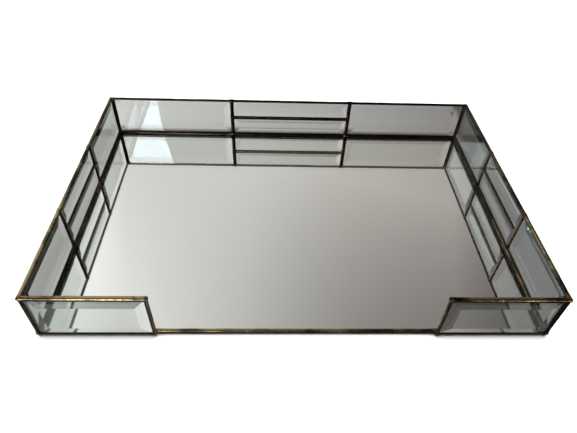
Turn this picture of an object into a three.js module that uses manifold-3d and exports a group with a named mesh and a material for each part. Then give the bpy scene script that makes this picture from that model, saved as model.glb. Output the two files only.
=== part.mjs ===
// Dresser vanity tray: a mirror base with four low walls of bevelled clear glass, held together by
// foil-and-solder seams with a dark brass patina. The back and side walls are split in three, and
// their middle third is two stacked strips. The front wall is two corner panels with a gap between.
//
// Millimetres. +X runs along the tray, +Y to the back wall, +Z up.
// The origin is at the centre of the underside.

import * as THREE from 'three';
import { mergeVertices } from 'three/addons/utils/BufferGeometryUtils.js';
import Module from 'manifold-3d';

const wasm = await Module();
wasm.setup();

// ---- Driving dimensions ----
const SEAM_LENGTH = 352.2;        // between the seam lines of the left and right walls
const SEAM_DEPTH = 238;           // between the seam lines of the front and back walls
const GLASS = 3;                  // thickness of the panes and of the mirror
const PANE_EDGE = 1.5;            // thickness left at a pane's edge by its bevel
const WIDE_BEVEL = 8;             // bevel width on the end panes
const NARROW_BEVEL = 6;           // bevel width on the strips in the middle thirds
const FELT = 1;                   // thickness of the felt under the mirror
const FELT_INSET = 4;             // from the mirror's edge to the felt's edge
const CLEARANCE = 0.3;            // between a pane, the mirror and the seams around them
const PANE_TOP = 42.8;            // height of the panes' top edges
const BAR_HEIGHT = 24.1;          // height of the bars that split the middle thirds
const FRONT_GAP = 195.8;          // between the inner edges of the two front panels

// ---- Seam sections ----
const RIM_WIDTH = 3.5;            // bead along the top edges
const RIM_HEIGHT = 2.6;
const SEAM_FACE = 3.2;            // width of a flat seam on the glass
const SEAM_CROWN = 0.75;          // how far a flat seam's bead stands off the glass edge
const SEAM_WEB = 0.4;             // solder between two pane edges
const POST_RADIUS = 1.7;          // corner posts
const POST_SLOT = 0.4;            // depth of the slot for a pane in a corner post
const KNOB_RADIUS = 2.1;          // solder knob on the ends of a post
const KNOB_HEIGHT = 1.3;          // half height of a knob
const FOOT_RADIUS = 0.6;          // end of a post's taper down the mirror's corner
const FILLET = 2.4;               // inner bead between the mirror and a wall, or between two walls
const RAIL_LIP = 0.45;            // thickness of a rail round the mirror's edge
const RAIL_LAP = 1;               // how far a base rail laps up the outside of a pane
const RAIL_FOOT = 1;              // how far a base rail laps under the mirror
const MIRROR_LAP = 1.8;           // how far the front edge's rail laps over and under the mirror
const ARC_STEPS = 8;              // segments in a half-round bead

// ---- Derived places ----
const MIRROR_BOTTOM = FELT + CLEARANCE;
const MIRROR_TOP = MIRROR_BOTTOM + GLASS;
const PANE_BOTTOM = MIRROR_TOP;
const RAIL_BOTTOM = FELT - RAIL_LIP;
const MIRROR_SETBACK = PANE_EDGE / 2 + CLEARANCE;
const SLOT_HALF = PANE_EDGE / 2 + CLEARANCE;
const POST_TO_PANE = POST_RADIUS - POST_SLOT + CLEARANCE;
const SEAM_TO_PANE = SEAM_WEB / 2 + CLEARANCE;
const SEAM_TOP = PANE_TOP - RIM_HEIGHT / 2 - CLEARANCE;
const SEAM_BOTTOM = MIRROR_TOP + CLEARANCE + FILLET + CLEARANCE;

// ---- Finishes ----
const clearGlass = new THREE.MeshStandardMaterial({
  color: 0xc9d6d0, roughness: 0.03, metalness: 0, transparent: true, opacity: 0.35,
});
const mirrorGlass = new THREE.MeshStandardMaterial({ color: 0xd6d8d6, roughness: 0.04, metalness: 1 });
const agedBrass = new THREE.MeshStandardMaterial({ color: 0x5c4c34, roughness: 0.42, metalness: 1 });
const darkFelt = new THREE.MeshStandardMaterial({ color: 0x1d2622, roughness: 0.95, metalness: 0 });

const tray = new THREE.Group();

// ---- Geometry helpers ----

function addMesh(parent, name, geometry, material) {
  const mesh = new THREE.Mesh(geometry, material);
  mesh.name = name;
  parent.add(mesh);
  return mesh;
}

// A bevelled pane standing in the wall's x-z plane: flat inside, bevelled on all sides outside.
function paneGeometry(left, right, bottom, top, bevel) {
  const inside = -PANE_EDGE / 2;
  const rings = [
    { inset: 0, y: inside },
    { inset: 0, y: inside + PANE_EDGE },
    { inset: bevel, y: inside + GLASS },
  ];
  const positions = [];
  for (const { inset, y } of rings) {
    positions.push(left + inset, y, bottom + inset);
    positions.push(right - inset, y, bottom + inset);
    positions.push(right - inset, y, top - inset);
    positions.push(left + inset, y, top - inset);
  }
  const index = [0, 1, 2, 0, 2, 3, 8, 10, 9, 8, 11, 10];
  for (const ring of [0, 4]) {
    for (let side = 0; side < 4; side += 1) {
      const a = ring + side;
      const b = ring + ((side + 1) % 4);
      index.push(a, a + 4, b, b, a + 4, b + 4);
    }
  }
  const geometry = new THREE.BufferGeometry();
  geometry.setAttribute('position', new THREE.Float32BufferAttribute(positions, 3));
  geometry.setIndex(index);
  return geometry;
}

// Extrudes a section so that its x axis points out of the wall, its y axis up, and it runs along x.
function alongWall(section, start, end) {
  const geometry = new THREE.ExtrudeGeometry(section, {
    depth: end - start, bevelEnabled: false, curveSegments: ARC_STEPS,
  });
  const toWall = new THREE.Matrix4().makeBasis(
    new THREE.Vector3(0, 1, 0), new THREE.Vector3(0, 0, 1), new THREE.Vector3(1, 0, 0),
  );
  return geometry.applyMatrix4(toWall).translate(start, 0, 0);
}

// Extrudes a section upwards. Its x and y axes are the wall's own.
function upright(section, bottom, top) {
  const geometry = new THREE.ExtrudeGeometry(section, {
    depth: top - bottom, bevelEnabled: false, curveSegments: ARC_STEPS,
  });
  return geometry.translate(0, 0, bottom);
}

function toSolid(geometry) {
  const bare = geometry.clone();
  bare.deleteAttribute('normal');
  bare.deleteAttribute('uv');
  const welded = mergeVertices(bare, 1e-4);
  return new wasm.Manifold(new wasm.Mesh({
    numProp: 3,
    vertProperties: new Float32Array(welded.attributes.position.array),
    triVerts: new Uint32Array(welded.index.array),
  }));
}

function fromSolid(solid) {
  const mesh = solid.getMesh();
  const geometry = new THREE.BufferGeometry();
  geometry.setAttribute('position', new THREE.BufferAttribute(mesh.vertProperties, 3));
  geometry.setIndex(new THREE.BufferAttribute(mesh.triVerts, 1));
  return geometry;
}

function boxBetween(low, high) {
  const size = high.map((value, axis) => value - low[axis]);
  const centre = high.map((value, axis) => (value + low[axis]) / 2);
  return new THREE.BoxGeometry(...size).translate(...centre);
}

function knobGeometry(height) {
  return new THREE.SphereGeometry(KNOB_RADIUS, 14, 8)
    .rotateX(Math.PI / 2)
    .scale(1, 1, KNOB_HEIGHT / KNOB_RADIUS)
    .translate(0, 0, height);
}

// Joins solids in the first list, then cuts away those in the second.
function joinAndCut(joined, cuts) {
  let solid = toSolid(joined[0]);
  for (const geometry of joined.slice(1)) {
    solid = solid.add(toSolid(geometry));
  }
  for (const geometry of cuts) {
    solid = solid.subtract(toSolid(geometry));
  }
  return fromSolid(solid);
}

// ---- Sections ----

// Oval bead with a slot that a pane's edge sits in. The slot opens towards -y.
function slottedBead(width, height) {
  const mouth = -height / 2 * Math.sqrt(1 - (2 * SLOT_HALF / width) ** 2);
  const start = Math.atan2(mouth / (height / 2), SLOT_HALF / (width / 2));
  const section = new THREE.Shape();
  section.moveTo(SLOT_HALF, mouth);
  section.absellipse(0, 0, width / 2, height / 2, start, Math.PI - start, false);
  section.lineTo(-SLOT_HALF, CLEARANCE);
  section.lineTo(SLOT_HALF, CLEARANCE);
  return section;
}

// H-shaped seam between two panes in one plane: a bead on each face, joined between their edges.
// Across is the way from pane to pane.
function flatSeam() {
  const section = new THREE.Shape();
  const face = SEAM_FACE / 2;
  const web = SEAM_WEB / 2;
  section.moveTo(face, SLOT_HALF);
  section.absellipse(0, SLOT_HALF, face, SEAM_CROWN, 0, Math.PI, false);
  section.lineTo(-web, SLOT_HALF);
  section.lineTo(-web, -SLOT_HALF);
  section.lineTo(-face, -SLOT_HALF);
  section.absellipse(0, -SLOT_HALF, face, SEAM_CROWN, Math.PI, 2 * Math.PI, false);
  section.lineTo(web, -SLOT_HALF);
  section.lineTo(web, SLOT_HALF);
  return section;
}

// Bead in the inner corner between the mirror's face and a wall, with its origin on the seam line.
function filletSection() {
  const wall = -SLOT_HALF;
  const floor = MIRROR_TOP + CLEARANCE;
  const section = new THREE.Shape();
  section.moveTo(wall, floor);
  section.lineTo(wall, floor + FILLET);
  section.quadraticCurveTo(wall - FILLET * 0.65, floor + FILLET * 0.65, wall - FILLET, floor);
  return section;
}

// Rail that fills the outer groove between a wall's foot and the mirror's edge. It laps up the
// outside of the panes and in under the mirror.
function baseRailSection() {
  const mirrorEdge = CLEARANCE - MIRROR_SETBACK;
  const paneSlot = PANE_BOTTOM - CLEARANCE;
  const mirrorSlot = MIRROR_BOTTOM - CLEARANCE;
  const innerEnd = -MIRROR_SETBACK - RAIL_FOOT;
  const section = new THREE.Shape();
  section.moveTo(innerEnd, RAIL_BOTTOM);
  section.lineTo(mirrorEdge, RAIL_BOTTOM);
  section.quadraticCurveTo(PANE_EDGE / 2, MIRROR_BOTTOM + CLEARANCE, SLOT_HALF + RAIL_LIP, PANE_BOTTOM);
  section.lineTo(SLOT_HALF, PANE_BOTTOM + RAIL_LAP);
  section.lineTo(SLOT_HALF, paneSlot);
  section.lineTo(mirrorEdge, paneSlot);
  section.lineTo(mirrorEdge, mirrorSlot);
  section.lineTo(innerEnd, mirrorSlot);
  return section;
}

// Channel on the mirror's bare front edge, where the front wall is open.
function edgeRailSection() {
  const edge = -MIRROR_SETBACK + CLEARANCE;
  const slotFloor = MIRROR_BOTTOM - CLEARANCE;
  const slotRoof = MIRROR_TOP + CLEARANCE;
  const innerEnd = -MIRROR_SETBACK - MIRROR_LAP;
  const middle = (MIRROR_BOTTOM + MIRROR_TOP) / 2;
  const section = new THREE.Shape();
  section.moveTo(innerEnd, slotFloor);
  section.lineTo(innerEnd, RAIL_BOTTOM);
  section.lineTo(edge, RAIL_BOTTOM);
  section.absellipse(edge, middle, RAIL_LIP, middle - RAIL_BOTTOM, -Math.PI / 2, Math.PI / 2, false);
  section.lineTo(innerEnd, slotRoof + RAIL_LIP / 2);
  section.lineTo(innerEnd, slotRoof);
  section.lineTo(edge, slotRoof);
  section.lineTo(edge, slotFloor);
  return section;
}

// ---- Walls ----
// A wall group has its origin on its seam line at the base, +X along the wall and +Y outwards.

function wallGroup(x, y, turn) {
  const wall = new THREE.Group();
  wall.position.set(x, y, 0);
  wall.rotation.z = turn;
  tray.add(wall);
  return wall;
}

function addPane(wall, name, [left, right], [bottom, top], bevel) {
  addMesh(wall, name, paneGeometry(left, right, bottom, top, bevel), clearGlass);
}

// The upright seam between two bays. Inside, it stops above the fillet and clears the mirror.
function baySeamGeometry(x) {
  const column = upright(flatSeam(), PANE_BOTTOM + RAIL_LAP + CLEARANCE, SEAM_TOP);
  const reach = 2 * SEAM_FACE;
  const innerCut = boxBetween([-reach, -reach, 0], [reach, -PANE_EDGE / 2, SEAM_BOTTOM]);
  return joinAndCut([column], [innerCut]).translate(x, 0, 0);
}

function barGeometry(span) {
  return upright(flatSeam(), -span / 2, span / 2)
    .rotateY(Math.PI / 2)
    .translate(0, 0, BAR_HEIGHT);
}

function addRim(wall, name, [start, end]) {
  const rim = alongWall(slottedBead(RIM_WIDTH, RIM_HEIGHT), start, end);
  addMesh(wall, name, rim.translate(0, 0, PANE_TOP), agedBrass);
}

// A wall of three bays. The middle bay is two strips, one above the other.
function buildThreeBayWall(wall, name, seamSpan, lowName, highName) {
  const fullHeight = [PANE_BOTTOM, PANE_TOP];
  const end = seamSpan / 2 - POST_TO_PANE;
  const seam = seamSpan / 6;
  const bayEdge = seam + SEAM_TO_PANE;
  const strip = [SEAM_TO_PANE - seam, seam - SEAM_TO_PANE];
  addPane(wall, `${name}_pane_${lowName}`, [-end, -bayEdge], fullHeight, WIDE_BEVEL);
  addPane(wall, `${name}_pane_${highName}`, [bayEdge, end], fullHeight, WIDE_BEVEL);
  addPane(wall, `${name}_strip_lower`, strip, [PANE_BOTTOM, BAR_HEIGHT - SEAM_TO_PANE], NARROW_BEVEL);
  addPane(wall, `${name}_strip_upper`, strip, [BAR_HEIGHT + SEAM_TO_PANE, PANE_TOP], NARROW_BEVEL);

  addMesh(wall, `${name}_seam_${lowName}`, baySeamGeometry(-seam), agedBrass);
  addMesh(wall, `${name}_seam_${highName}`, baySeamGeometry(seam), agedBrass);
  addMesh(wall, `${name}_bar`, barGeometry(2 * seam - SEAM_FACE - 2 * CLEARANCE), agedBrass);

  const beadEnd = seamSpan / 2 - KNOB_RADIUS - CLEARANCE;
  const filletEnd = seamSpan / 2 - SLOT_HALF - FILLET - CLEARANCE;
  addRim(wall, `${name}_rim`, [-beadEnd, beadEnd]);
  addMesh(wall, `${name}_base_rail`, alongWall(baseRailSection(), -beadEnd, beadEnd), agedBrass);
  addMesh(wall, `${name}_inner_fillet`, alongWall(filletSection(), -filletEnd, filletEnd), agedBrass);
}

// One corner panel of the front wall, from its corner post to the gap. side is +1 or -1 along the wall.
function buildFrontPanel(wall, name, side) {
  const inOrder = (a, b) => (a < b ? [a, b] : [b, a]);
  const pane = inOrder(side * (SEAM_LENGTH / 2 - POST_TO_PANE), side * FRONT_GAP / 2);
  const bead = inOrder(
    side * (SEAM_LENGTH / 2 - KNOB_RADIUS - CLEARANCE),
    side * (FRONT_GAP / 2 + KNOB_RADIUS + CLEARANCE),
  );
  addPane(wall, `${name}_pane`, pane, [PANE_BOTTOM, PANE_TOP], WIDE_BEVEL);
  addRim(wall, `${name}_rim`, bead);
  addMesh(wall, `${name}_base_rail`, alongWall(baseRailSection(), ...bead), agedBrass);
  addMesh(wall, `${name}_end_post`, endPostGeometry(side), agedBrass);
}

// ---- Posts ----
// A post has a knob at each end and a taper down past the mirror. It is cut back from the panes and
// the mirror that it meets.

function postEnds() {
  const taper = new THREE.CylinderGeometry(POST_RADIUS, FOOT_RADIUS, PANE_BOTTOM - RAIL_BOTTOM, 14)
    .rotateX(Math.PI / 2)
    .translate(0, 0, (PANE_BOTTOM + RAIL_BOTTOM) / 2);
  return [taper, knobGeometry(PANE_BOTTOM), knobGeometry(PANE_TOP)];
}

// Upright bead in the inner corner between two walls that come in from -x and -y.
function cornerFillet() {
  const inside = -SLOT_HALF;
  const leg = inside - FILLET;
  const bulge = inside - FILLET * 0.65;
  const section = new THREE.Shape();
  section.moveTo(CLEARANCE + inside, CLEARANCE + inside);
  section.lineTo(leg, inside);
  section.quadraticCurveTo(bulge, bulge, inside, leg);
  return upright(section, MIRROR_TOP + CLEARANCE, SEAM_TOP);
}

function paneCut(left, right) {
  return boxBetween([...left, PANE_BOTTOM - CLEARANCE], [...right, PANE_TOP + CLEARANCE]);
}

function mirrorCut(inner, outer) {
  return boxBetween([...inner, MIRROR_BOTTOM - CLEARANCE], [...outer, MIRROR_TOP + CLEARANCE]);
}

// A corner post. Its panes come in from -x and -y, and the mirror from between them.
function cornerPostGeometry() {
  const reach = 2 * KNOB_RADIUS;
  const slotEnd = POST_SLOT - POST_RADIUS;
  const mirrorEnd = CLEARANCE - MIRROR_SETBACK;
  const column = new THREE.CylinderGeometry(POST_RADIUS, POST_RADIUS, PANE_TOP - PANE_BOTTOM, 20)
    .rotateX(Math.PI / 2)
    .translate(0, 0, (PANE_TOP + PANE_BOTTOM) / 2);
  return joinAndCut([column, cornerFillet(), ...postEnds()], [
    paneCut([-reach, -SLOT_HALF], [slotEnd, SLOT_HALF]),
    paneCut([-SLOT_HALF, -reach], [SLOT_HALF, slotEnd]),
    mirrorCut([-reach, -reach], [mirrorEnd, mirrorEnd]),
  ]);
}

// The post on a front panel's free edge, beside the gap, in the front wall's frame.
function endPostGeometry(side) {
  const reach = 2 * KNOB_RADIUS;
  const turn = side * Math.PI / 2;
  const column = upright(slottedBead(RIM_WIDTH, RIM_HEIGHT), PANE_BOTTOM, PANE_TOP).rotateZ(turn);
  const post = joinAndCut([column, ...postEnds()], [
    paneCut([-SLOT_HALF, -reach], [SLOT_HALF, CLEARANCE]).rotateZ(turn),
    mirrorCut([-reach, -reach], [reach, CLEARANCE - MIRROR_SETBACK]),
  ]);
  return post.translate(side * FRONT_GAP / 2, 0, 0);
}

// ---- Assembly ----

function buildBase() {
  const halfX = SEAM_LENGTH / 2 - MIRROR_SETBACK;
  const halfY = SEAM_DEPTH / 2 - MIRROR_SETBACK;
  addMesh(
    tray, 'mirror_base',
    boxBetween([-halfX, -halfY, MIRROR_BOTTOM], [halfX, halfY, MIRROR_TOP]), mirrorGlass,
  );
  addMesh(
    tray, 'felt_backing',
    boxBetween([FELT_INSET - halfX, FELT_INSET - halfY, 0], [halfX - FELT_INSET, halfY - FELT_INSET, FELT]),
    darkFelt,
  );
}

function buildCornerPosts() {
  const corners = [
    ['back_right', 1, 1, 0], ['back_left', -1, 1, Math.PI / 2],
    ['front_left', -1, -1, Math.PI], ['front_right', 1, -1, -Math.PI / 2],
  ];
  for (const [name, signX, signY, turn] of corners) {
    const post = addMesh(tray, `corner_post_${name}`, cornerPostGeometry(), agedBrass);
    post.position.set(signX * SEAM_LENGTH / 2, signY * SEAM_DEPTH / 2, 0);
    post.rotation.z = turn;
  }
}

function buildFrontWall() {
  const wall = wallGroup(0, -SEAM_DEPTH / 2, Math.PI);
  buildFrontPanel(wall, 'front_left', 1);
  buildFrontPanel(wall, 'front_right', -1);
  const railEnd = FRONT_GAP / 2 - KNOB_RADIUS - CLEARANCE;
  addMesh(wall, 'front_edge_rail', alongWall(edgeRailSection(), -railEnd, railEnd), agedBrass);
}

buildBase();
buildCornerPosts();
buildThreeBayWall(wallGroup(0, SEAM_DEPTH / 2, 0), 'back', SEAM_LENGTH, 'left', 'right');
buildThreeBayWall(wallGroup(-SEAM_LENGTH / 2, 0, Math.PI / 2), 'left', SEAM_DEPTH, 'front', 'rear');
buildThreeBayWall(wallGroup(SEAM_LENGTH / 2, 0, -Math.PI / 2), 'right', SEAM_DEPTH, 'rear', 'front');
buildFrontWall();

export default tray;
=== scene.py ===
"""Looks of the dresser vanity tray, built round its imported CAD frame. +Z is up, and the front gap is
at -Y. The tray is worked out in millimetres, and the stage in metres."""
import math

import bmesh
import bpy
from mathutils import Matrix, Vector, noise


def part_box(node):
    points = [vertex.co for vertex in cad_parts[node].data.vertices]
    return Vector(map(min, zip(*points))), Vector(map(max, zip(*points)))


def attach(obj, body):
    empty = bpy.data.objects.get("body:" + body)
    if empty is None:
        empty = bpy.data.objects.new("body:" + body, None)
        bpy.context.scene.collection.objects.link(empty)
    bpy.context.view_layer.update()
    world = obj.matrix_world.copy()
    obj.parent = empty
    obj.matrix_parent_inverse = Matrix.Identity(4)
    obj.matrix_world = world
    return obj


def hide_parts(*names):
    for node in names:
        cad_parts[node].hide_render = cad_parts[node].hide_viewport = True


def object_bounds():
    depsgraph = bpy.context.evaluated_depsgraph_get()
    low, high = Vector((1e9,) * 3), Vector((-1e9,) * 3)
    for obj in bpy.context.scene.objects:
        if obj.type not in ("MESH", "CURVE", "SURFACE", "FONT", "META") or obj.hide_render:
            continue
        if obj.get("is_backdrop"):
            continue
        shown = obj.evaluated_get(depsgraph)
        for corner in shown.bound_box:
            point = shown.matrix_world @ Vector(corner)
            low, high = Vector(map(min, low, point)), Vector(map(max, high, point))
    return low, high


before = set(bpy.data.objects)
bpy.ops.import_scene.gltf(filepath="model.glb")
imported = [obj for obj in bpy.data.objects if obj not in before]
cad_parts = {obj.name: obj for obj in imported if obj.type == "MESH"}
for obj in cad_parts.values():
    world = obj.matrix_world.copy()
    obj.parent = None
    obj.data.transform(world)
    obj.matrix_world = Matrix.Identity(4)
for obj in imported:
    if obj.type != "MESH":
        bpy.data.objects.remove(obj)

CAD_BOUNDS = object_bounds()
MM = 0.001
UP = Vector((0, 0, 1))
LEFTWARDS = (-1, 0, 0)
RIGHTWARDS = (1, 0, 0)
FORWARDS = (0, -1, 0)
BACKWARDS = (0, 1, 0)
UPWARDS = (0, 0, 1)

# ---- Driving dimensions of the tray, millimetres unless said ----
PANE_EDGE = 1.5             # thickness that the bevel leaves at a pane's edge
BEVEL_RISE = 0.19           # slope of the wide bevels
GLASS_GAP = 0.3             # CAD clearance between glass and glass, which solder fills here
EMBED = 0.04                # how far solder bites into the glass, so that no light leaks between them
FOIL = 0.12                 # step at a foil's edge
RIM_WIDTH = 3.5
RIM_CROWN = 1.2             # crest above the pane's top edge
# Foil of a rim down the bevelled face and down the flat face
RIM_LAPS = {
    "back": (1.0, 0.6),
    "left": (1.6, 0.4),
    "right": (1.1, 0.7),
    "front": (2.0, 0.4),
}
END_POST_LAPS = (1.2, 0.4)  # the same on the free ends of the front panels
SEAM_FACE = 3.5             # width of the upright seams
BAR_FACE = 3.2              # width of the level bars
SEAM_CROWN = 0.8
SEAM_WEB = 0.5              # half of the gap between two panes in one plane
SEAM_BELOW_RIM = 0.2        # from the top of the panes to an upright seam's end, inside the rim
SEAM_FOOT_DROP = 3.0        # a drop's height above the foot of the panes
SEAM_TOP_DROP = 2.0         # a drop's depth below their top
FILLET_LEGS = {"back": 2.5, "left": 2.6, "right": 3.0}
FILLET_BULGE = 0.82         # how far a fillet fills its corner, as a share of its leg
CORNER_FILLET = 2.6
POST_RADIUS = 1.3
POST_TO_PANE = 1.6          # from a corner to the pane's end
POST_LAP = 0.2              # foil of a corner post on the outside of the panes
POST_CREST = 0.45           # wear on the outside of a corner post
POST_BELOW_RIM = 0.3        # from the top of the panes to a post's end, inside its knob
END_POST_FOOT = 0.5         # from the foot of the panes down to an end post's foot
END_POST_TOP = 0.3          # from the top of the panes up to its top
CORNER_KNOB = (RIM_CROWN + 0.08, 2.0)                   # half height and radius
END_KNOB = (RIM_CROWN + 0.05, RIM_WIDTH / 2 + 0.1)
FOOT_RADIUS = 0.6
TIP_RADIUS = 0.02           # where a turned shape closes
TURNED_CREST = 0.75         # wear on knobs and feet
# Laps of the base rails up the outside of the panes
RAIL_LAPS = {
    "back": 1.0,
    "left": 1.0,
    "right": 1.0,
    "left_panel": 0.2,
    "right_panel": 1.0,
}
RAIL_FOOT = 1.0             # base rail's lap under the mirror
RAIL_LIP = 0.45
MIRROR_LAP = 1.8            # front edge's rail over the mirror
CHANNEL_BOTTOM = 1.2        # underside of the front edge's rail
CHANNEL_CROWN = 0.42        # its crest above the mirror
CHANNEL_NOSE = 0.45         # how far its rounded nose stands out
CHANNEL_OVERRUN = 2.4       # how far it runs on under the end posts
CHANNEL_END_DROP = 2.0      # how far out its last drops are
ARRIS = 0.12                # ground edge of the panes
MIRROR_CHAMFER = 0.4        # ground top edge of the mirror
PAINT_DEPTH = 0.08          # paint on the mirror's back
PAINT_INSET = 0.3           # bare border round the paint
PAINT_DROP = 0.01           # gap between the silver and the paint
FELT_SOFTNESS = 0.2         # how far the felt's edges are drawn in
FELT_NAP = 0.03             # height of the felt's waves
FELT_CELLS = (120, 80)

# ---- Unevenness of the solder ----
RING_STEP = 0.8             # spacing of the rings along a seam
ARC_STEPS = 12              # segments over a bead
KNOB_STEPS = 8              # segments up a knob
TURNED_COLUMNS = 20         # segments round a knob or a foot
# Waves along a bead: (seed offset, amount, length)
SWELL_WAVES = ((0, 0.10, 17), (0.4, 0.07, 4.5))
SPREAD_WAVES = ((0.7, 0.05, 11), (0.9, 0.035, 3.2))
DRIFT_WAVES = ((0.2, 0.07, 24),)
SEED_STEPS = (7.31, 1.17)   # how far apart in the noise the seeds are
RIPPLE = 0.04               # fine ripples, as a share of the bead's size
RIPPLE_LENGTH = 1.7         # along a bead
RIPPLE_PITCH = 1.3          # across it, in waves per millimetre
RIPPLE_LIFT = 0.2           # how much of a ripple goes into height
LUMPINESS = 0.09            # the same on knobs and feet
DROP_SPREAD = 0.45          # how much a drop widens a bead for its height
# Drops of solder where seams meet: (share of the bead's size, reach along it)
DROPS = {
    "joint": (0.42, 2.2),
    "corner": (0.2, 3.0),
    "seam_foot": (0.15, 2.5),
    "seam_at_bar": (0.3, 2.0),
    "seam_top": (0.2, 2.5),
    "bar_end": (0.25, 2.4),
    "rim_at_gap": (0.2, 2.2),
    "rail_at_gap": (0.8, 3.4),
    "end_post_top": (0.2, 2.0),
    "end_post_foot": (0.3, 2.5),
    "edge_end": (0.3, 3.0),
    "post_foot": (0.25, 2.5),
    "post_top": (0.2, 2.5),
}

# ---- Stage, metres. Heights and places in the room are parts of a direction one metre long ----
FLOOR_HALF = 4.0
FLOOR_HEIGHT = -0.00005     # just clear of the felt
HOLE_HALF = (0.160, 0.103)  # the floor is open under the felt, so that the underside can be seen
FLOOR_GAIN = 1.75           # brightness of a white floor under the lamps
FLOOR_WHITE = (0.95, 0.95, 0.945)
# What the tray reflects of the floor, a grey with painted shade and painted shadows. An edge is (start, end)
# of a change, from the middle outwards.
FLOOR_LEVEL = 0.52          # brightness under the tray's middle
FLOOR_SLOPE = (-1.15, 0, 0)     # painted shade: change of brightness with each metre, darker to the right, away from the light
SIDE_EDGE = (0.185, 0.190)
LEFT_FLOOR = 0.70           # share of the brightness that is left beyond the left side: a painted shadow
RIGHT_FLOOR = 0.335         # and beyond the right side, also a painted shadow
FRONT_EDGE = (0.14, 0.17)
FRONT_LOSS = -0.22
SHADOW_EDGE = (0.134, 0.140)    # the back wall's painted shadow ends here
SHADOW_START = (0.09, 0.10)     # it starts here
SHADOW_SIDE = (0.172, 0.178)    # and is this wide each way
SHADOW_LEVEL = 0.30
NEAR_FLOOR = (0.45, 0.70)   # beyond this distance the floor is white for reflections too
FADE_TO_BACKDROP = (0.6, 1.6)   # over this distance the camera loses the floor
BACKDROP = 0.92             # brightness of the backdrop that the camera sees
ROOM_DARK = 0.14            # brightness of the room behind the camera
ROOM_LOW = 0.50             # the same near the floor
ROOM_GAIN = 1.18
AHEAD_BLEND = (-0.15, 0.3)  # from the room behind the camera to the room ahead
AHEAD_HEIGHTS = (0.63, 0.86)    # the room ahead changes between these heights only
AHEAD_LIMITS = (0.06, 0.77)     # dimmest and brightest
AHEAD_STOPS = 0.289         # brightness of the room ahead in stops, straight ahead at the horizon
AHEAD_LOSS = 1.974          # and the stops that it loses towards the ceiling
FALL_STOPS = 5.882          # change of those stops towards the right, at the horizon
FALL_LOSS = 11.607          # and the loss of that towards the ceiling
LOW_ROOM = (0.26, 0.40)     # heights from the brighter low room to the dark room
# Bands over the height and from left to right: (start, end, factor before, factor after)
HEIGHT_BANDS = ((0.85, 0.89, 1.0, 0.5), (0.93, 0.97, 1.0, 3.0))
ACROSS_BANDS = ((0.36, 0.45, 1.0, 0.55), (-0.36, -0.28, 1.22, 1.0), (-0.22, -0.05, 0.92, 1.03))
WINDOW_Y = -0.9             # plane of the windows behind the camera
LAMP_HEIGHT = 1.6
LAMP_SIZE = 1.8
LAMP_POWER = 54.0           # watts
CAMERA_PLACE = Vector((-0.020491, -0.301830, 0.294163))
CAMERA_AIM = Vector((-0.003836, -0.004069, 0.0043))
CAMERA_ROLL = 2.801         # degrees
CAMERA_LENS = 30.029        # millimetres
CAMERA_SENSOR = 36.0        # millimetres


# ---- Walls ----

class Wall:
    """A wall's frame: s runs along it, a outwards from its seam line, and z up."""

    def __init__(self, name, rim, along, out):
        low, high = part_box(rim)
        self.name = name
        self.along = Vector(along)
        self.out = Vector(out)
        self.seam = ((low + high) / 2).dot(self.out) / MM

    def place(self, s, a, z):
        return (self.along * s + self.out * (self.seam + a) + UP * z) * MM

    def span(self, node):
        """The node's range along the wall."""
        return sorted(corner.dot(self.along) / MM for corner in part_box(node))


def heights(node):
    """The node's lowest and highest points."""
    low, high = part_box(node)
    return low.z / MM, high.z / MM


BACK = Wall("back", "back_rim", (1, 0, 0), (0, 1, 0))
LEFT = Wall("left", "left_rim", (0, 1, 0), (-1, 0, 0))
RIGHT = Wall("right", "right_rim", (0, -1, 0), (1, 0, 0))
FRONT = Wall("front", "front_left_rim", (-1, 0, 0), (0, -1, 0))
CROSS_WALLS = {"back": RIGHT, "left": BACK, "right": BACK}  # a wall that each wall ends at

MIRROR_BOTTOM, MIRROR_TOP = heights("mirror_base")
PANE_BOTTOM, PANE_TOP = heights("back_pane_left")
RAIL_BOTTOM = heights("back_base_rail")[0]
BAR_HEIGHT = sum(heights("back_bar")) / 2
MIRROR_EDGE = -PANE_EDGE / 2 - GLASS_GAP


# ---- Solder meshes ----

def wander(middle, seed, s, waves):
    """A value at s that wanders about its middle. The seed keeps it apart from other seams' values."""
    value = middle
    for offset, amount, length in waves:
        rows = [(seed + offset) * step for step in SEED_STEPS]
        value += amount * noise.noise(Vector((s / length, *rows)))
    return value


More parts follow.
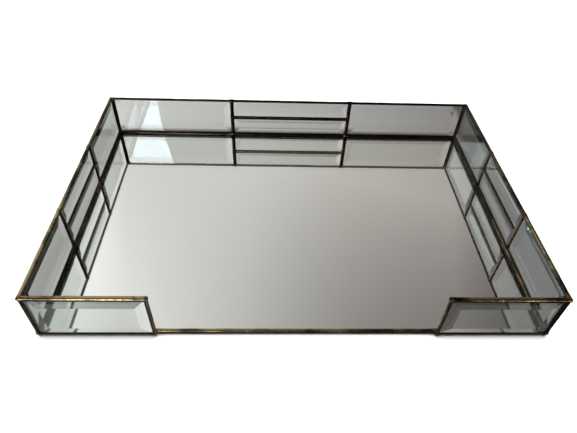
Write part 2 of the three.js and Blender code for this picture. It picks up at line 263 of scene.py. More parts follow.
class Solder:
    """A solder piece: closed shells that may run into each other. Every point has a crest value, which
    is how high it stands on its bead: 0 at the foil's edge and 1 at the top, or more on the front rail's
    top, where it is partly wear and partly painted light."""

    count = 0

    def __init__(self, node):
        Solder.count += 1
        self.seed = Solder.count
        self.node = node
        self.points = []
        self.faces = []
        self.crests = []

    def add_loft(self, rings, crests):
        """A shell through rings of points, with a fan at each end."""
        base = len(self.points)
        size = len(rings[0])
        for ring, crest in zip(rings, crests):
            self.points += ring
            self.crests += crest
        for row in range(len(rings) - 1):
            for column in range(size):
                a = base + row * size + column
                b = base + row * size + (column + 1) % size
                self.faces.append((a, b, b + size, a + size))
        for row in (0, len(rings) - 1):
            centre = len(self.points)
            self.points.append(sum(rings[row], Vector()) / size)
            self.crests.append(sum(crests[row]) / size)
            for column in range(size):
                a = base + row * size + column
                b = base + row * size + (column + 1) % size
                self.faces.append((a, b, centre))

    def add_bead(self, section, start, end, place, drops):
        """Lofts a section from start to end. place turns (s, across, up) into a point, and each drop of
        solder is (s, size, reach)."""
        count = max(2, round(abs(end - start) / RING_STEP))
        rings, crests = [], []
        for row in range(count + 1):
            s = start + (end - start) * row / count
            swell = wander(1, self.seed, s, SWELL_WAVES)
            spread = wander(1, self.seed, s, SPREAD_WAVES)
            drift = wander(0, self.seed, s, DRIFT_WAVES)
            for at, size, reach in drops:
                extra = size * math.exp(-((s - at) / reach) ** 2)
                swell += extra
                spread += DROP_SPREAD * extra
            ring, crest = [], []
            for across, up, height in section(swell, spread):
                grain = (s / RIPPLE_LENGTH, across * RIPPLE_PITCH + self.seed, up * RIPPLE_PITCH)
                ripple = RIPPLE * height * noise.noise(Vector(grain))
                across = across * (1 + ripple) + drift * height
                ring.append(place(s, across, up * (1 + ripple * RIPPLE_LIFT)))
                crest.append(height)
            rings.append(ring)
            crests.append(crest)
        self.add_loft(rings, crests)

    def add_turned(self, x, y, profile):
        """A lumpy turned shape on an upright axis, through (height, radius) points."""
        rings = []
        for z, radius in profile:
            ring = []
            for column in range(TURNED_COLUMNS):
                angle = 2 * math.pi * column / TURNED_COLUMNS
                grain = Vector((math.cos(angle) + self.seed, math.sin(angle), z / 2))
                reach = radius * (1 + LUMPINESS * noise.noise(grain))
                ring.append(Vector((x + math.cos(angle) * reach, y + math.sin(angle) * reach, z)) * MM)
            rings.append(ring)
        self.add_loft(rings, [[TURNED_CREST] * TURNED_COLUMNS] * len(rings))

    def finish(self):
        mesh = bpy.data.meshes.new(self.node)
        mesh.from_pydata(self.points, [], self.faces)
        crest = mesh.attributes.new("crest", "FLOAT", "POINT")
        crest.data.foreach_set("value", self.crests)
        shape = bmesh.new()
        shape.from_mesh(mesh)
        bmesh.ops.recalc_face_normals(shape, faces=shape.faces)
        shape.to_mesh(mesh)
        shape.free()
        finish_piece(f"{self.node}_solder", mesh, [AGED_BRASS], [self.node])


def add_object(name, data):
    made = bpy.data.objects.new(name, data)
    bpy.context.scene.collection.objects.link(made)
    return made


def finish_piece(name, mesh, materials, nodes, smooth=True):
    """Makes an object of a mesh, on the tray's one body, that stands for the CAD nodes."""
    piece = add_object(name, mesh)
    for material in materials:
        mesh.materials.append(material)
    for polygon in mesh.polygons:
        polygon.use_smooth = smooth
    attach(piece, "root")
    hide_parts(*nodes)
    return piece


# ---- Bead sections ----
# A section is a closed list of (across, up, crest) in millimetres. swell scales the crown, and spread
# the width.

def arc(half_width, height, centre, start, end):
    """Points on an ellipse between two angles in degrees, with the crest at its top and bottom."""
    points = []
    for step in range(ARC_STEPS + 1):
        angle = math.radians(start + (end - start) * step / ARC_STEPS)
        rise = math.sin(angle)
        crest = math.sqrt(abs(rise))
        points.append((centre[0] + half_width * math.cos(angle), centre[1] + height * rise, crest))
    return points


def bulge_curve(first, control, last):
    """Points on a quadratic curve from first to last, with the crest at its middle."""
    points = []
    for step in range(ARC_STEPS + 1):
        t = step / ARC_STEPS
        weights = ((1 - t) ** 2, 2 * t * (1 - t), t * t)
        across, up = (
            sum(weight * point[axis] for weight, point in zip(weights, (first, control, last)))
            for axis in (0, 1)
        )
        points.append((across, up, math.sin(math.pi * t)))
    return points


def edge_bead(outer_lap, inner_lap):
    """Bead over a pane's free edge. Across is outwards, and up is from the pane's edge."""
    face = PANE_EDGE / 2
    flare = BEVEL_RISE * outer_lap

    def section(swell, spread):
        half = RIM_WIDTH / 2 * spread
        return arc(half, RIM_CROWN * swell, (0, 0), 0, 180) + [
            (-half * 0.95, -0.5 * inner_lap, 0.3),
            (-face - FOIL, -inner_lap, 0),
            (EMBED - face, -inner_lap, 0),
            (EMBED - face, -EMBED, 0),
            (face - EMBED, -EMBED, 0),
            (face + flare - EMBED, -outer_lap, 0),
            (face + flare + FOIL, -outer_lap, 0),
            (half * 0.94, -0.5 * outer_lap, 0.35),
        ]

    return section


def flat_bead(width):
    """Seam between two panes in one plane. Across is from pane to pane, and up is outwards."""
    face = PANE_EDGE / 2
    web = SEAM_WEB + EMBED

    def section(swell, spread):
        half = width / 2 * spread
        outer_rise = BEVEL_RISE * (half - web)
        outer = arc(half, SEAM_CROWN * swell, (0, face + FOIL + outer_rise), 0, 180)
        inner = arc(half, SEAM_CROWN * swell, (0, -face - FOIL), 180, 360)
        left = [
            (-half, face + outer_rise - EMBED, 0),
            (-web, face - EMBED, 0),
            (-web, EMBED - face, 0),
            (-half, EMBED - face, 0),
        ]
        right = [(-across, up, crest) for across, up, crest in reversed(left)]
        return outer + left + inner + right

    return section


def fillet_bead(leg_length):
    """Bead in the corner between the mirror and a wall. Across is outwards, and up is from the mirror."""
    wall = EMBED - PANE_EDGE / 2

    def section(swell, spread):
        leg = leg_length * spread
        bulge = leg * (FILLET_BULGE + 0.5 * (swell - 1))
        first = (wall - FOIL, leg)
        last = (wall - leg, FOIL)
        curve = bulge_curve(first, (wall - bulge, bulge), last)
        return [(wall, -EMBED, 0), (wall, leg, 0)] + curve + [(wall - leg, -EMBED, 0)]

    return section


def groove_bead(lap):
    """Rail in the outer groove under a wall. Across is outwards, and up is absolute height."""
    face = PANE_EDGE / 2
    flare = BEVEL_RISE * lap
    inner_end = MIRROR_EDGE - RAIL_FOOT

    def section(swell, spread):
        lap_top = PANE_BOTTOM + lap * spread
        outer = face + GLASS_GAP + RAIL_LIP * swell
        foot = [
            (inner_end, MIRROR_BOTTOM + EMBED, 0),
            (inner_end, RAIL_BOTTOM + 0.15, 0),
            (inner_end + 0.2, RAIL_BOTTOM, 0.2),
        ]
        low = (MIRROR_EDGE + GLASS_GAP, RAIL_BOTTOM)
        groove = bulge_curve(low, (face * swell, MIRROR_BOTTOM + GLASS_GAP), (outer, PANE_BOTTOM))
        lip = [
            (outer - 0.1, PANE_BOTTOM + 0.5 * lap, 0.3),
            (face + flare + FOIL, lap_top, 0),
            (face + flare - EMBED, lap_top, 0),
            (face - EMBED, PANE_BOTTOM + EMBED, 0),
            (MIRROR_EDGE - EMBED, PANE_BOTTOM + EMBED, 0),
            (MIRROR_EDGE - EMBED, MIRROR_BOTTOM + EMBED, 0),
        ]
        return foot + groove + lip

    return section


def channel_bead(swell, spread):
    """Channel on the mirror's bare front edge. Across is outwards, and up is absolute height."""
    middle = (MIRROR_TOP + MIRROR_BOTTOM) / 2
    lap = MIRROR_LAP * spread
    foot = MIRROR_EDGE - MIRROR_LAP
    top = MIRROR_TOP + CHANNEL_CROWN * swell
    centre = (MIRROR_EDGE + GLASS_GAP / 2, middle)
    nose = arc(CHANNEL_NOSE * swell, middle - CHANNEL_BOTTOM, centre, -90, 70)
    # A crest of 1.5 over the top makes it brassier than other beads: partly wear, partly painted light that
    # lightens the rail's top
    over = [
        (MIRROR_EDGE - 0.25 * lap, top, 1.5),
        (MIRROR_EDGE - 0.6 * lap, top - 0.04, 1.5),
        (MIRROR_EDGE - 0.88 * lap, top - 0.16, 1),
        (MIRROR_EDGE - lap, MIRROR_TOP + FOIL, 0),
        (MIRROR_EDGE - lap, MIRROR_TOP - EMBED, 0),
        (MIRROR_EDGE - EMBED, MIRROR_TOP - EMBED, 0),
        (MIRROR_EDGE - EMBED, MIRROR_BOTTOM + EMBED, 0),
    ]
    return [(foot, MIRROR_BOTTOM + EMBED, 0), (foot, CHANNEL_BOTTOM + 0.1, 0)] + nose + over


def corner_bead(swell, spread):
    """Post at a corner, with a bead in its inner corner. The two panes come in along -across and -up."""
    face = PANE_EDGE / 2
    lap_end = -POST_TO_PANE - POST_LAP
    flared = face + BEVEL_RISE * POST_LAP
    radius = POST_RADIUS * spread
    leg = face + CORNER_FILLET * swell
    bulge = face + CORNER_FILLET * 0.8 * swell
    outside = arc(radius, radius, (0, 0), 142, -52)
    inside = bulge_curve((-face - FOIL, -leg), (-bulge, -bulge), (-leg, -face - FOIL))
    # The other pane's side is this one's, mirrored in the corner's diagonal.
    one_pane = [
        (flared + FOIL, lap_end, 0),
        (flared - EMBED, lap_end, 0),
        (face - EMBED, -POST_TO_PANE - EMBED, 0),
        (EMBED - face, -POST_TO_PANE - EMBED, 0),
        (EMBED - face, -leg, 0),
    ]
    other_pane = [(up, across, crest) for across, up, crest in reversed(one_pane)]
    return [(across, up, POST_CREST) for across, up, _ in outside] + one_pane + inside + other_pane


# ---- Seams ----

def knob_profile(half_height, radius):
    """A round lump centred on the top of the panes."""
    points = []
    for step in range(KNOB_STEPS + 1):
        angle = math.pi * step / KNOB_STEPS
        points.append((PANE_TOP - half_height * math.cos(angle), radius * math.sin(angle) + TIP_RADIUS))
    return points


def foot_profile():
    """From the mirror's corner up to a lump at the foot of the panes."""
    rise = PANE_BOTTOM - RAIL_BOTTOM
    return [
        (RAIL_BOTTOM, TIP_RADIUS),
        (RAIL_BOTTOM + 0.05, FOOT_RADIUS),
        (RAIL_BOTTOM + 0.5 * rise, 1.1),
        (RAIL_BOTTOM + 0.8 * rise, 1.65),
        (PANE_BOTTOM, 1.9),
        (PANE_BOTTOM + 0.8, 1.7),
        (PANE_BOTTOM + 1.4, 0.7),
        (PANE_BOTTOM + 1.5, TIP_RADIUS),
    ]


def drop(kind, s):
    """A drop of solder at s, as (s, size, reach)."""
    return (s, *DROPS[kind])


def build_bead(node, section, start, end, place, drops):
    """A solder piece that is one bead."""
    solder = Solder(node)
    solder.add_bead(section, start, end, place, drops)
    solder.finish()


def bay_seams(wall):
    """Node and place of the two upright seams of a three-bay wall."""
    sides = {"back": ("left", "right"), "left": ("front", "rear"), "right": ("rear", "front")}[wall.name]
    names = [f"{wall.name}_seam_{side}" for side in sides]
    return [(name, sum(wall.span(name)) / 2) for name in names]


def build_three_bay_seams(wall):
    """All the solder of a three-bay wall but its corner posts."""
    seams = bay_seams(wall)
    corner = abs(CROSS_WALLS[wall.name].seam)
    joints = [drop("joint", s) for _, s in seams]
    meetings = joints + [drop("corner", -corner), drop("corner", corner)]
    build_bead(
        f"{wall.name}_rim", edge_bead(*RIM_LAPS[wall.name]), -corner, corner,
        lambda s, a, up: wall.place(s, a, PANE_TOP + up), meetings,
    )
    build_bead(
        f"{wall.name}_base_rail", groove_bead(RAIL_LAPS[wall.name]), -corner, corner, wall.place, joints,
    )
    end = corner - PANE_EDGE
    build_bead(
        f"{wall.name}_inner_fillet", fillet_bead(FILLET_LEGS[wall.name]), -end, end,
        lambda s, a, up: wall.place(s, a, MIRROR_TOP + up), meetings,
    )
    for name, s in seams:
        build_upright_seam(wall, name, s)
    first, last = seams[0][1], seams[1][1]
    build_bead(
        f"{wall.name}_bar", flat_bead(BAR_FACE), first, last,
        lambda s, t, a: wall.place(s, a, BAR_HEIGHT + t), [drop("bar_end", first), drop("bar_end", last)],
    )


def build_upright_seam(wall, name, s):
    """A seam between two bays, with drops where it meets the other seams."""
    drops = [
        drop("seam_foot", PANE_BOTTOM + SEAM_FOOT_DROP),
        drop("seam_at_bar", BAR_HEIGHT),
        drop("seam_top", PANE_TOP - SEAM_TOP_DROP),
    ]
    build_bead(
        name, flat_bead(SEAM_FACE), PANE_BOTTOM, PANE_TOP - SEAM_BELOW_RIM,
        lambda z, t, a: wall.place(s + t, a, z), drops,
    )


def build_front_panel_seams(side):
    low, high = FRONT.span(f"front_{side}_pane")
    outwards = 1 if low + high > 0 else -1
    corner = outwards * abs(RIGHT.seam)
    gap = outwards * min(abs(low), abs(high))
    build_bead(
        f"front_{side}_rim", edge_bead(*RIM_LAPS["front"]), gap, corner,
        lambda s, a, up: FRONT.place(s, a, PANE_TOP + up), [drop("corner", corner), drop("rim_at_gap", gap)],
    )
    build_bead(
        f"front_{side}_base_rail", groove_bead(RAIL_LAPS[f"{side}_panel"]), gap, corner,
        FRONT.place, [drop("corner", corner), drop("rail_at_gap", gap)],
    )
    build_end_post(f"front_{side}_end_post", gap, outwards)


def build_end_post(name, gap, outwards):
    """A bead on a front panel's free end, with a knob on top and a foot down the mirror's edge."""
    post = Solder(name)
    post.add_bead(
        edge_bead(*END_POST_LAPS), PANE_BOTTOM - END_POST_FOOT, PANE_TOP + END_POST_TOP,
        lambda z, a, up: FRONT.place(gap - outwards * up, a, z),
        [drop("end_post_top", PANE_TOP), drop("end_post_foot", PANE_BOTTOM)],
    )
    at = FRONT.place(gap, 0, 0) / MM
    post.add_turned(at.x, at.y, foot_profile())
    post.add_turned(at.x, at.y, knob_profile(*END_KNOB))
    post.finish()


def build_front_edge():
    low, high = FRONT.span("front_edge_rail")
    build_bead(
        "front_edge_rail", channel_bead, low - CHANNEL_OVERRUN, high + CHANNEL_OVERRUN, FRONT.place,
        [drop("edge_end", low - CHANNEL_END_DROP), drop("edge_end", high + CHANNEL_END_DROP)],
    )


def build_corner_post(name):
    """A post with its inner bead, a knob on top and a foot down the mirror's corner."""
    low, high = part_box(name)
    x_side = 1 if low.x > 0 else -1
    y_side = 1 if low.y > 0 else -1
    x = x_side * abs(RIGHT.seam)
    y = y_side * abs(BACK.seam)

    def place(z, across, up):
        return Vector((x + x_side * across, y + y_side * up, z)) * MM

    post = Solder(name)
    post.add_bead(
        corner_bead, PANE_BOTTOM, PANE_TOP - POST_BELOW_RIM, place,
        [drop("post_foot", PANE_BOTTOM), drop("post_top", PANE_TOP)],
    )
    post.add_turned(x, y, foot_profile())
    post.add_turned(x, y, knob_profile(*CORNER_KNOB))
    post.finish()


# ---- Materials ----

def new_material(name):
    material = bpy.data.materials.new(name)
    material.use_nodes = True
    tree = material.node_tree
    return material, tree, tree.nodes["Principled BSDF"]


def set_inputs(node, **values):
    for name, value in values.items():
        node.inputs[name.replace("_", " ")].default_value = value


def add_noise(tree, scale, detail, roughness=0.55):
    """Noise over object coordinates, so that a grain's size is in metres."""
    place = tree.nodes.new("ShaderNodeTexCoord")
    texture = tree.nodes.new("ShaderNodeTexNoise")
    set_inputs(texture, Scale=scale, Detail=detail, Roughness=roughness)
    tree.links.new(place.outputs["Object"], texture.inputs["Vector"])
    return texture.outputs["Fac"]


def add_range(tree, value, low, high, to_low, to_high):
    node = tree.nodes.new("ShaderNodeMapRange")
    set_inputs(node, From_Min=low, From_Max=high, To_Min=to_low, To_Max=to_high)
    tree.links.new(value, node.inputs["Value"])
    return node.outputs["Result"]


def add_math(tree, operation, first, *others):
    """Folds an operation over two or more values."""
    result = first
    for other in others:
        node = tree.nodes.new("ShaderNodeMath")
        node.operation = operation
        for socket, value in zip(node.inputs, (result, other)):
            if isinstance(value, (int, float)):
                socket.default_value = value
            else:
                tree.links.new(value, socket)
        result = node.outputs["Value"]
    return result


def add_along(tree, direction, coordinates="Object"):
    """The dot product of a direction and the coordinates."""
    place = tree.nodes.new("ShaderNodeTexCoord")
    dot = tree.nodes.new("ShaderNodeVectorMath")
    dot.operation = "DOT_PRODUCT"
    tree.links.new(place.outputs[coordinates], dot.inputs[0])
    dot.inputs[1].default_value = direction
    return dot.outputs["Value"]


def add_ramp(tree, value, stops):
    node = tree.nodes.new("ShaderNodeValToRGB")
    ramp = node.color_ramp
    while len(ramp.elements) < len(stops):
        ramp.elements.new(0.5)
    for element, (position, colour) in zip(ramp.elements, stops):
        element.position = position
        element.color = (*colour, 1)
    tree.links.new(value, node.inputs["Fac"])
    return node.outputs["Color"]


def add_bump(tree, shader, height, distance, strength):
    node = tree.nodes.new("ShaderNodeBump")
    set_inputs(node, Distance=distance, Strength=strength)
    tree.links.new(height, node.inputs["Height"])
    tree.links.new(node.outputs["Normal"], shader.inputs["Normal"])


def add_shader(tree, kind, output, **values):
    node = tree.nodes.new(f"ShaderNode{kind}")
    set_inputs(node, **values)
    return node.outputs[output]


def add_shader_mix(tree, factor, first, second):
    """The first shader where the factor is 0, and the second where it is 1."""
    mix = tree.nodes.new("ShaderNodeMixShader")
    tree.links.new(factor, mix.inputs["Fac"])
    tree.links.new(first, mix.inputs[1])
    tree.links.new(second, mix.inputs[2])
    return mix.outputs["Shader"]


def make_aged_brass():
    """Solder with a dark brown patina, rubbed to brass on its crests, and more so on the rims, at the
    tray's top. Painted light lies over that: the brass is brighter towards the front and left, which
    face the light, and darker towards the back and right."""
    material, tree, shader = new_material("aged_brass")
    crest = tree.nodes.new("ShaderNodeAttribute")
    crest.attribute_name = "crest"
    drifts = add_noise(tree, 40, 3)
    mottle = add_noise(tree, 700, 5)
    # Painted light: brassier towards the front and left, where the light falls, darker towards the back and
    # right
    painted_light_slope = add_range(tree, add_along(tree, (0.2, 1, 0)), -0.20, 0.20, 1.25, 0.3)
    patches = add_range(tree, drifts, 0.38, 0.60, 0.42, 1.0)
    on_rims = add_range(tree, add_along(tree, (0, 0, 1)), 0.036, 0.040, 1.0, 1.2)
    # Crest wear, times the painted light slope, the patches and the rims
    wear_and_painted_light = add_math(tree, "MULTIPLY", crest.outputs["Fac"], painted_light_slope, patches, on_rims)
    tone = add_math(tree, "ADD", wear_and_painted_light, add_range(tree, mottle, 0.3, 0.7, -0.22, 0.22))
    colour = add_ramp(tree, tone, [
        (0.0, (0.011, 0.009, 0.007)),
        (0.4, (0.022, 0.017, 0.011)),
        (0.8, (0.145, 0.108, 0.057)),
        (1.0, (0.34, 0.27, 0.145)),
    ])
    tree.links.new(colour, shader.inputs["Base Color"])
    tree.links.new(add_range(tree, mottle, 0.3, 0.7, 0.10, 0.24), shader.inputs["Roughness"])
    shader.inputs["Metallic"].default_value = 1.0
    pits = add_noise(tree, 1500, 6, 0.6)
    add_bump(tree, shader, pits, 0.00010, 0.6)
    return material


def make_clear_glass(name, tint, density):
    """Polished glass with a little green in its depth. Light from lamps passes straight through it."""
    material, tree, shader = new_material(name)
    set_inputs(shader, Base_Color=(*tint, 1), Roughness=0.0, IOR=1.52, Transmission_Weight=1.0)
    waves = add_noise(tree, 16, 1)
    add_bump(tree, shader, waves, 0.0015, 0.25)
    clear = add_shader(tree, "BsdfTransparent", "BSDF", Color=(0.93, 0.96, 0.945, 1))
    path = tree.nodes.new("ShaderNodeLightPath")
    surface = add_shader_mix(tree, path.outputs["Is Shadow Ray"], shader.outputs["BSDF"], clear)
    depth = add_shader(tree, "VolumeAbsorption", "Volume", Color=(0.30, 0.50, 0.45, 1), Density=density)
    output = tree.nodes["Material Output"]
    tree.links.new(surface, output.inputs["Surface"])
    tree.links.new(depth, output.inputs["Volume"])
    return material


def make_silver():
    material, tree, shader = new_material("silvering")
    set_inputs(shader, Base_Color=(0.93, 0.91, 0.91, 1), Metallic=1.0)
    haze = add_noise(tree, 30, 4)
    tree.links.new(add_range(tree, haze, 0.3, 0.7, 0.0, 0.02), shader.inputs["Roughness"])
    return material


def make_back_paint():
    material, tree, shader = new_material("mirror_paint")
    blotch = add_noise(tree, 220, 4)
    colour = add_ramp(tree, blotch, [(0.3, (0.16, 0.165, 0.17)), (0.7, (0.22, 0.225, 0.23))])
    tree.links.new(colour, shader.inputs["Base Color"])
    set_inputs(shader, Roughness=0.6)
    add_bump(tree, shader, blotch, 0.0001, 0.4)
    return material


def make_felt():
    material, tree, shader = new_material("felt")
    clumps = add_noise(tree, 320, 6, 0.7)
    fibres = add_noise(tree, 4200, 3, 0.7)
    coarse = add_math(tree, "MULTIPLY", clumps, 0.6)
    fine = add_math(tree, "MULTIPLY", fibres, 0.4)
    shade = add_math(tree, "ADD", coarse, fine)
    colour = add_ramp(tree, shade, [(0.3, (0.055, 0.078, 0.066)), (0.7, (0.135, 0.170, 0.150))])
    tree.links.new(colour, shader.inputs["Base Color"])
    set_inputs(shader, Roughness=0.95, Sheen_Weight=0.4, Sheen_Roughness=0.5)
    add_bump(tree, shader, fibres, 0.0004, 0.8)
    return material


AGED_BRASS = make_aged_brass()
CLEAR_GLASS = make_clear_glass("clear_glass", (0.999, 0.982, 0.968), 83.0)
MIRROR_GLASS = make_clear_glass("mirror_glass", (0.985, 0.99, 0.985), 3.0)
SILVER = make_silver()
BACK_PAINT = make_back_paint()
FELT = make_felt()


# ---- Glass, mirror and felt ----

def dress_panes():
    """The CAD panes keep their shape, and get ground arrises and the glass material."""
    for name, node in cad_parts.items():
        if "_pane" not in name and "_strip" not in name:
            continue
        node.data.materials.clear()
        node.data.materials.append(CLEAR_GLASS)
        for polygon in node.data.polygons:
            polygon.use_smooth = False
        arris = node.modifiers.new("arris", "BEVEL")
        arris.width = ARRIS * MM
        arris.segments = 2
        arris.limit_method = "ANGLE"
        arris.angle_limit = math.radians(4)


def rectangle(left, low, right, high):
    """Corners, anticlockwise."""
    return [(left, low), (right, low), (right, high), (left, high)]


def add_mirror_glass(shape, low, high):
    """The glass slab, with its top edges ground and silver on its underside."""
    chamfer = MIRROR_CHAMFER * MM
    rings = []
    for z, inset in ((low.z + PAINT_DEPTH * MM, 0), (high.z - chamfer, 0), (high.z, chamfer)):
        corners = rectangle(low.x + inset, low.y + inset, high.x - inset, high.y - inset)
        rings.append([shape.verts.new((x, y, z)) for x, y in corners])
    for lower, upper in zip(rings, rings[1:]):
        for side in range(4):
            other = (side + 1) % 4
            shape.faces.new((lower[side], lower[other], upper[other], upper[side]))
    shape.faces.new(rings[-1])
    silver = shape.faces.new(list(reversed(rings[0])))
    silver.material_index = 1


def add_mirror_paint(shape, low, high):
    """A thin slab of paint under the silver."""
    paint = PAINT_DEPTH * MM
    inset = 2 * PAINT_INSET * MM
    backing = bmesh.ops.create_cube(shape, size=1)["verts"]
    size = Vector((high.x - low.x - inset, high.y - low.y - inset, paint))
    centre = Vector((0, 0, low.z + paint / 2 - PAINT_DROP * MM))
    bmesh.ops.scale(shape, vec=size, verts=backing)
    bmesh.ops.translate(shape, vec=centre, verts=backing)
    for face in {face for vert in backing for face in vert.link_faces}:
        face.material_index = 2


def build_mirror():
    low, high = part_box("mirror_base")
    shape = bmesh.new()
    add_mirror_glass(shape, low, high)
    add_mirror_paint(shape, low, high)
    mesh = bpy.data.meshes.new("mirror")
    shape.to_mesh(mesh)
    shape.free()
    materials = [MIRROR_GLASS, SILVER, BACK_PAINT]
    finish_piece("mirror_floor", mesh, materials, ["mirror_base"], smooth=False)


def add_felt_face(shape, low, high, is_top):
    """A grid over the felt's top or its underside, with the outer points drawn in."""
    columns, rows = FELT_CELLS
    softness = FELT_SOFTNESS * MM
    z = high.z if is_top else low.z
    grid = []
    for j in range(rows + 1):
        line = []
        for i in range(columns + 1):
            x = low.x + (high.x - low.x) * i / columns
            y = low.y + (high.y - low.y) * j / rows
            edge = i in (0, columns) or j in (0, rows)
            pull = softness * abs(noise.noise(Vector((x * 90, y * 90, 3)))) if edge else 0
            lift = FELT_NAP * MM * noise.noise(Vector((x * 300, y * 300, 0))) if is_top else 0
            inset = softness if edge else 0
            height = z + lift - inset if is_top else z + inset
            line.append(shape.verts.new((x - math.copysign(pull, x), y - math.copysign(pull, y), height)))
        grid.append(line)
    for near, far in zip(grid, grid[1:]):
        for i in range(columns):
            corners = [near[i], near[i + 1], far[i + 1], far[i]]
            shape.faces.new(corners if is_top else reversed(corners))
    return grid


def grid_border(grid):
    """The outer points of a grid, in order round it."""
    front = grid[0][:-1]
    right = [line[-1] for line in grid[:-1]]
    back = grid[-1][:0:-1]
    left = [line[0] for line in grid[:0:-1]]
    return front + right + back + left


def build_felt():
    """A pressed felt sheet with softened, slightly uneven edges."""
    low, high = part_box("felt_backing")
    shape = bmesh.new()
    under = add_felt_face(shape, low, high, is_top=False)
    over = add_felt_face(shape, low, high, is_top=True)
    border = list(zip(grid_border(under), grid_border(over)))
    for (low_a, high_a), (low_b, high_b) in zip(border, border[1:] + border[:1]):
        shape.faces.new((low_a, low_b, high_b, high_a))
    mesh = bpy.data.meshes.new("felt")
    shape.to_mesh(mesh)
    shape.free()
    felt = finish_piece("felt_sheet", mesh, [FELT], ["felt_backing"])


# ---- Stage ----

# Bright cards behind the camera: outline as (x, z) in metres, brightness, colour
WINDOWS = {
    "tall_window": (
        [(-0.446, 0.57), (-0.398, 0.57), (-0.375, 0.86), (-0.56, 0.86), (-0.495, 0.70)],
        7.4, (0.80, 0.93, 1.0),
    ),
    "narrow_window": (
        [(-0.483, 0.57), (-0.467, 0.57), (-0.478, 0.645), (-0.500, 0.70), (-0.562, 0.85), (-0.60, 0.85),
         (-0.53, 0.70)],
        6.0, (0.88, 0.95, 1.0),
    ),
    "left_window": (rectangle(-1.90, 0.60, -0.75, 1.40), 2.5, (1.0, 1.0, 1.0)),
    "low_window": (rectangle(-0.80, 0.08, -0.19, 0.50), 17.0, (1.0, 0.97, 0.9)),
    "right_window": (rectangle(0.58, 0.10, 0.78, 0.45), 10.0, (1.0, 0.92, 0.82)),
}
NOT_THROUGH_GLASS = ("low_window", "right_window")      # outer surfaces reflect these, and that is all


def add_edge(tree, direction, edge, before, after):
    """A value that changes over an edge, which lies in a direction from the tray's middle."""
    return add_range(tree, add_along(tree, direction), *edge, before, after)


def add_floor_grey_and_painted_shade(tree):
    """What glass and metal see of the floor near the tray, a grey with painted shade on it. It falls off to
    the right, away from the light. It is dim beyond the side walls, a painted shadow, and in front, and a
    painted shadow of the back wall lies behind it."""
    # Painted shadows beyond the side walls
    left = add_edge(tree, LEFTWARDS, SIDE_EDGE, 1.0, LEFT_FLOOR)
    right = add_edge(tree, RIGHTWARDS, SIDE_EDGE, 1.0, RIGHT_FLOOR)
    front = add_edge(tree, FORWARDS, FRONT_EDGE, 0.0, FRONT_LOSS)
    # Painted shadow of the back wall
    behind_shadow = add_edge(tree, BACKWARDS, SHADOW_EDGE, SHADOW_LEVEL, 1.0)
    before_shadow = add_edge(tree, BACKWARDS, SHADOW_START, 1.0, 0.0)
    sideways = add_math(tree, "ABSOLUTE", add_along(tree, RIGHTWARDS), 0)
    beside_shadow = add_range(tree, sideways, *SHADOW_SIDE, 0.0, 1.0)
    shadow = add_math(tree, "MAXIMUM", behind_shadow, before_shadow, beside_shadow)
    # Painted shade: darker to the right, away from the light
    level = add_math(tree, "ADD", add_along(tree, FLOOR_SLOPE), FLOOR_LEVEL, front)
    level = add_math(tree, "MULTIPLY", level, left, right, shadow, 1 / FLOOR_GAIN)
    return add_ramp(tree, level, [
        (0.03, (0.033, 0.029, 0.027)),
        (0.20, (0.205, 0.192, 0.192)),
        (0.80, (0.80, 0.81, 0.80)),
    ])


def make_floor_paint():
    """White for the camera and far from the tray, and grey with painted shade and painted shadows for what
    the tray reflects. The camera sees the far floor fade into the backdrop, and sees through the floor from
    below."""
    material, tree, shader = new_material("floor")
    place = tree.nodes.new("ShaderNodeTexCoord")
    distance = tree.nodes.new("ShaderNodeVectorMath")
    distance.operation = "LENGTH"
    tree.links.new(place.outputs["Object"], distance.inputs[0])
    path = tree.nodes.new("ShaderNodeLightPath")
    seen = path.outputs["Is Camera Ray"]
    far_off = add_range(tree, distance.outputs["Value"], *NEAR_FLOOR, 0.0, 1.0)
    tones = tree.nodes.new("ShaderNodeMix")
    tones.data_type = "RGBA"
    tree.links.new(add_math(tree, "MAXIMUM", far_off, seen), tones.inputs["Factor"])
    grey, white = [socket for socket in tones.inputs if socket.type == "RGBA"]
    tree.links.new(add_floor_grey_and_painted_shade(tree), grey)
    white.default_value = (*FLOOR_WHITE, 1)
    result = next(socket for socket in tones.outputs if socket.type == "RGBA")
    tree.links.new(result, shader.inputs["Base Color"])
    set_inputs(shader, Roughness=0.9, Specular_IOR_Level=0.0)

    fade = add_range(tree, distance.outputs["Value"], *FADE_TO_BACKDROP, 0.0, 1.0)
    fade = add_math(tree, "MULTIPLY", fade, seen)
    glow = add_shader(tree, "Emission", "Emission", Color=(BACKDROP, BACKDROP, BACKDROP, 1))
    above = add_shader_mix(tree, fade, shader.outputs["BSDF"], glow)
    clear = add_shader(tree, "BsdfTransparent", "BSDF")
    geometry = tree.nodes.new("ShaderNodeNewGeometry")
    surface = add_shader_mix(tree, geometry.outputs["Backfacing"], above, clear)
    tree.links.new(surface, tree.nodes["Material Output"].inputs["Surface"])
    return material


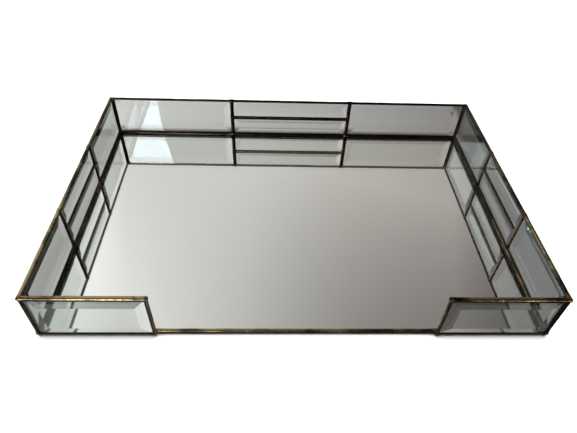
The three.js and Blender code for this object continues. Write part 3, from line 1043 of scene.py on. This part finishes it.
def build_floor():
    """A pale floor with an opening under the felt."""
    outer = rectangle(-FLOOR_HALF, -FLOOR_HALF, FLOOR_HALF, FLOOR_HALF)
    across, along = HOLE_HALF
    hole = rectangle(-across, -along, across, along)
    faces = [(i, (i + 1) % 4, 4 + (i + 1) % 4, 4 + i) for i in range(4)]
    mesh = bpy.data.meshes.new("floor")
    mesh.from_pydata([(x, y, FLOOR_HEIGHT) for x, y in outer + hole], [], faces)
    mesh.materials.append(make_floor_paint())
    add_object("floor", mesh)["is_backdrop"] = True


def add_light_ahead(tree, across, height):
    """The room behind the back wall: bright on the left and dim on the right, more so higher up."""
    height = add_range(tree, height, *AHEAD_HEIGHTS, *AHEAD_HEIGHTS)
    lost = add_math(tree, "MULTIPLY", height, AHEAD_LOSS)
    fall_lost = add_math(tree, "MULTIPLY", height, FALL_LOSS)
    fall = add_math(tree, "SUBTRACT", FALL_STOPS, fall_lost)
    stops = add_math(tree, "SUBTRACT", AHEAD_STOPS, lost)
    stops = add_math(tree, "ADD", stops, add_math(tree, "MULTIPLY", across, fall))
    dimmest, brightest = AHEAD_LIMITS
    glow = add_math(tree, "MAXIMUM", add_math(tree, "POWER", 2, stops), dimmest)
    return add_math(tree, "MINIMUM", glow, brightest)


def add_room_level(tree, across, height):
    """Brightness of the whole room. The room behind the camera is dark, but less so near the floor. The
    ceiling is dim above the camera and bright straight overhead."""
    room = add_range(tree, height, *LOW_ROOM, ROOM_LOW, ROOM_DARK)
    ahead = add_range(tree, add_along(tree, BACKWARDS, "Generated"), *AHEAD_BLEND, 0.0, 1.0)
    difference = add_math(tree, "SUBTRACT", add_light_ahead(tree, across, height), room)
    level = add_math(tree, "ADD", add_math(tree, "MULTIPLY", difference, ahead), room)
    bands = [add_range(tree, height, *band) for band in HEIGHT_BANDS]
    bands += [add_range(tree, across, *band) for band in ACROSS_BANDS]
    return add_math(tree, "MULTIPLY", level, *bands)


def build_world():
    """Soft room light, cool on the left and warm on the right. The camera sees a plain backdrop."""
    world = bpy.data.worlds.new("room")
    bpy.context.scene.world = world
    world.use_nodes = True
    tree = world.node_tree
    across = add_along(tree, RIGHTWARDS, "Generated")
    height = add_along(tree, UPWARDS, "Generated")
    tint = add_ramp(tree, add_range(tree, across, -0.45, 0.45, 0.0, 1.0), [
        (0.0, (0.98, 1.0, 0.995)),
        (0.5, (1.0, 1.0, 0.94)),
        (1.0, (1.0, 0.92, 0.855)),
    ])
    scale = tree.nodes.new("ShaderNodeVectorMath")
    scale.operation = "SCALE"
    tree.links.new(tint, scale.inputs["Vector"])
    tree.links.new(add_room_level(tree, across, height), scale.inputs["Scale"])
    room = tree.nodes["Background"]
    room.inputs["Strength"].default_value = ROOM_GAIN
    tree.links.new(scale.outputs["Vector"], room.inputs["Color"])
    plain = add_shader(tree, "Background", "Background", Color=(BACKDROP, BACKDROP, BACKDROP, 1))
    path = tree.nodes.new("ShaderNodeLightPath")
    surface = add_shader_mix(tree, path.outputs["Is Camera Ray"], room.outputs["Background"], plain)
    tree.links.new(surface, tree.nodes["World Output"].inputs["Surface"])


def build_window(name, outline, radiance, colour):
    """A bright upright card behind the camera, seen in reflections only."""
    mesh = bpy.data.meshes.new(name)
    mesh.from_pydata([(x, WINDOW_Y, z) for x, z in outline], [], [range(len(outline))])
    material = bpy.data.materials.new(name)
    material.use_nodes = True
    tree = material.node_tree
    glow = add_shader(tree, "Emission", "Emission", Color=(*colour, 1), Strength=radiance)
    tree.links.new(glow, tree.nodes["Material Output"].inputs["Surface"])
    mesh.materials.append(material)
    card = add_object(name, mesh)
    card.visible_camera = False
    card.visible_diffuse = False
    card.visible_shadow = False
    card.visible_transmission = name not in NOT_THROUGH_GLASS
    card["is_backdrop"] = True


def build_lamp():
    """A broad soft lamp overhead, which is never seen in the glass."""
    data = bpy.data.lights.new("overhead", "AREA")
    data.size = LAMP_SIZE
    data.energy = LAMP_POWER
    lamp = add_object("overhead", data)
    lamp.location = (0, 0, LAMP_HEIGHT)
    lamp.visible_camera = False
    lamp.visible_glossy = False
    lamp.visible_transmission = False


def build_camera():
    data = bpy.data.cameras.new("camera")
    data.sensor_width = CAMERA_SENSOR
    data.lens = CAMERA_LENS
    data.clip_start = 0.01
    camera = add_object("camera", data)
    turn = (CAMERA_AIM - CAMERA_PLACE).to_track_quat("-Z", "Y").to_matrix()
    turn = turn @ Matrix.Rotation(math.radians(CAMERA_ROLL), 3, "Z")
    camera.matrix_world = Matrix.Translation(CAMERA_PLACE) @ turn.to_4x4()
    bpy.context.scene.camera = camera


def set_render_looks():
    scene = bpy.context.scene
    scene.view_settings.view_transform = "Standard"
    scene.cycles.use_denoising = True
    scene.cycles.max_bounces = 24
    scene.cycles.transmission_bounces = 20
    scene.cycles.glossy_bounces = 12
    scene.cycles.transparent_max_bounces = 24
    scene.cycles.caustics_reflective = False
    scene.cycles.caustics_refractive = False


build_camera()
for three_bay_wall in (BACK, LEFT, RIGHT):
    build_three_bay_seams(three_bay_wall)
for panel_side in ("left", "right"):
    build_front_panel_seams(panel_side)
build_front_edge()
for corner_place in ("back_left", "back_right", "front_left", "front_right"):
    build_corner_post(f"corner_post_{corner_place}")
dress_panes()
build_mirror()
build_felt()
build_floor()
build_world()
build_lamp()
for window_name, window in WINDOWS.items():
    build_window(window_name, *window)
set_render_looks()

boxes = {"cad": CAD_BOUNDS, "visual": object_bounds()}
{name: [list(low), list(high)] for name, (low, high) in boxes.items()}
